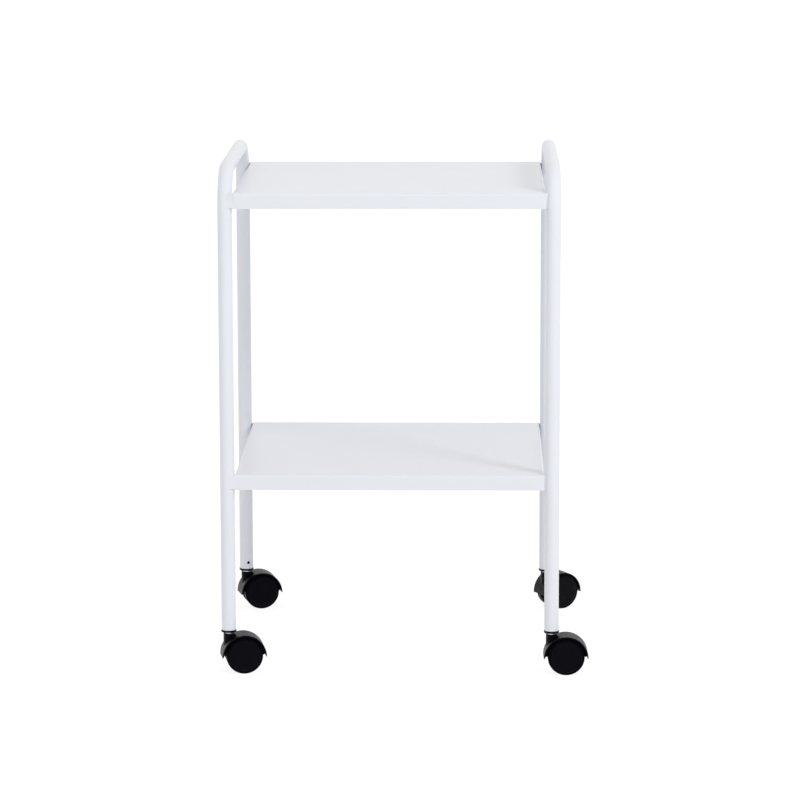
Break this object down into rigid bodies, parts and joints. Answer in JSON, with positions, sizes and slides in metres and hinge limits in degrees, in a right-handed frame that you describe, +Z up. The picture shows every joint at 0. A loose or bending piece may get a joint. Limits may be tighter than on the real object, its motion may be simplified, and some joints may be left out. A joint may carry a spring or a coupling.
{
  "type": "rolling salon trolley",
  "caption": "Open two-tier trolley: bent round-tube side frames with handle bars carry folded sheet shelves on hooded twin-wheel swivel casters.",
  "frame": {"origin": "on the floor, midway between the four legs", "axes": "+Z up, +X across the trolley from the left side frame to the right, -Y towards the front"},
  "size_m": [0.4923, 0.432, 0.677],
  "materials": {
    "white_powder_coat": "smooth semi-gloss powder coat on steel, also on the shelf fittings",
    "black_nylon": "moulded, fine satin grain",
    "black_wheel": "moulded, satin tread",
    "zinc_steel": "bright zinc plate"
  },
  "bodies": {
    "trolley_frame": {"left_side_frame": "white_powder_coat", "right_side_frame": "white_powder_coat", "upper_shelf": "white_powder_coat", "lower_shelf": "white_powder_coat", "upper_shelf_screws": "white_powder_coat", "lower_shelf_screws": "white_powder_coat", "upper_shelf_washers": "white_powder_coat", "lower_shelf_washers": "white_powder_coat", "left_frame_rivet_nuts": "white_powder_coat", "right_frame_rivet_nuts": "white_powder_coat", "front_left_caster_socket": "black_nylon", "front_left_caster_stem": "zinc_steel", "front_left_caster_grip_ring": "zinc_steel", "front_right_caster_socket": "black_nylon", "front_right_caster_stem": "zinc_steel", "front_right_caster_grip_ring": "zinc_steel", "back_left_caster_socket": "black_nylon", "back_left_caster_stem": "zinc_steel", "back_left_caster_grip_ring": "zinc_steel", "back_right_caster_socket": "black_nylon", "back_right_caster_stem": "zinc_steel", "back_right_caster_grip_ring": "zinc_steel"},
    "front_left_caster": {"front_left_caster_housing": "black_nylon", "front_left_caster_axle": "zinc_steel"},
    "front_left_caster_left_wheel": {"front_left_caster_left_wheel": "black_wheel", "front_left_caster_left_wheel_cap": "black_nylon"},
    "front_left_caster_right_wheel": {"front_left_caster_right_wheel": "black_wheel", "front_left_caster_right_wheel_cap": "black_nylon"},
    "front_right_caster": {"front_right_caster_housing": "black_nylon", "front_right_caster_axle": "zinc_steel"},
    "front_right_caster_left_wheel": {"front_right_caster_left_wheel": "black_wheel", "front_right_caster_left_wheel_cap": "black_nylon"},
    "front_right_caster_right_wheel": {"front_right_caster_right_wheel": "black_wheel", "front_right_caster_right_wheel_cap": "black_nylon"},
    "back_left_caster": {"back_left_caster_housing": "black_nylon", "back_left_caster_axle": "zinc_steel"},
    "back_left_caster_left_wheel": {"back_left_caster_left_wheel": "black_wheel", "back_left_caster_left_wheel_cap": "black_nylon"},
    "back_left_caster_right_wheel": {"back_left_caster_right_wheel": "black_wheel", "back_left_caster_right_wheel_cap": "black_nylon"},
    "back_right_caster": {"back_right_caster_housing": "black_nylon", "back_right_caster_axle": "zinc_steel"},
    "back_right_caster_left_wheel": {"back_right_caster_left_wheel": "black_wheel", "back_right_caster_left_wheel_cap": "black_nylon"},
    "back_right_caster_right_wheel": {"back_right_caster_right_wheel": "black_wheel", "back_right_caster_right_wheel_cap": "black_nylon"}
  },
  "joints": [
    {"name": "front_left_caster_swivel", "type": "hinge", "parent": "trolley_frame", "child": "front_left_caster", "pos_m": [-0.214, -0.1875, 0.0335], "axis": [0, 0, 1], "continuous": true},
    {"name": "front_left_caster_left_wheel_spin", "type": "hinge", "parent": "front_left_caster", "child": "front_left_caster_left_wheel", "pos_m": [-0.19499, -0.18415, 0.0245], "axis": [-0.1736, 0.9848, 0], "continuous": true},
    {"name": "front_left_caster_right_wheel_spin", "type": "hinge", "parent": "front_left_caster", "child": "front_left_caster_right_wheel", "pos_m": [-0.19499, -0.18415, 0.0245], "axis": [-0.1736, 0.9848, 0], "continuous": true},
    {"name": "front_right_caster_swivel", "type": "hinge", "parent": "trolley_frame", "child": "front_right_caster", "pos_m": [0.214, -0.1875, 0.0335], "axis": [0, 0, 1], "continuous": true},
    {"name": "front_right_caster_left_wheel_spin", "type": "hinge", "parent": "front_right_caster", "child": "front_right_caster_left_wheel", "pos_m": [0.2333, -0.18716, 0.0245], "axis": [-0.0175, 0.9998, 0], "continuous": true},
    {"name": "front_right_caster_right_wheel_spin", "type": "hinge", "parent": "front_right_caster", "child": "front_right_caster_right_wheel", "pos_m": [0.2333, -0.18716, 0.0245], "axis": [-0.0175, 0.9998, 0], "continuous": true},
    {"name": "back_left_caster_swivel", "type": "hinge", "parent": "trolley_frame", "child": "back_left_caster", "pos_m": [-0.214, 0.1875, 0.0335], "axis": [0, 0, 1], "continuous": true},
    {"name": "back_left_caster_left_wheel_spin", "type": "hinge", "parent": "back_left_caster", "child": "back_left_caster_left_wheel", "pos_m": [-0.19536, 0.1925, 0.0245], "axis": [-0.2588, 0.9659, 0], "continuous": true},
    {"name": "back_left_caster_right_wheel_spin", "type": "hinge", "parent": "back_left_caster", "child": "back_left_caster_right_wheel", "pos_m": [-0.19536, 0.1925, 0.0245], "axis": [-0.2588, 0.9659, 0], "continuous": true},
    {"name": "back_right_caster_swivel", "type": "hinge", "parent": "trolley_frame", "child": "back_right_caster", "pos_m": [0.214, 0.1875, 0.0335], "axis": [0, 0, 1], "continuous": true},
    {"name": "back_right_caster_left_wheel_spin", "type": "hinge", "parent": "back_right_caster", "child": "back_right_caster_left_wheel", "pos_m": [0.23071, 0.19715, 0.0245], "axis": [-0.5, 0.866, 0], "continuous": true},
    {"name": "back_right_caster_right_wheel_spin", "type": "hinge", "parent": "back_right_caster", "child": "back_right_caster_right_wheel", "pos_m": [0.23071, 0.19715, 0.0245], "axis": [-0.5, 0.866, 0], "continuous": true}
  ]
}
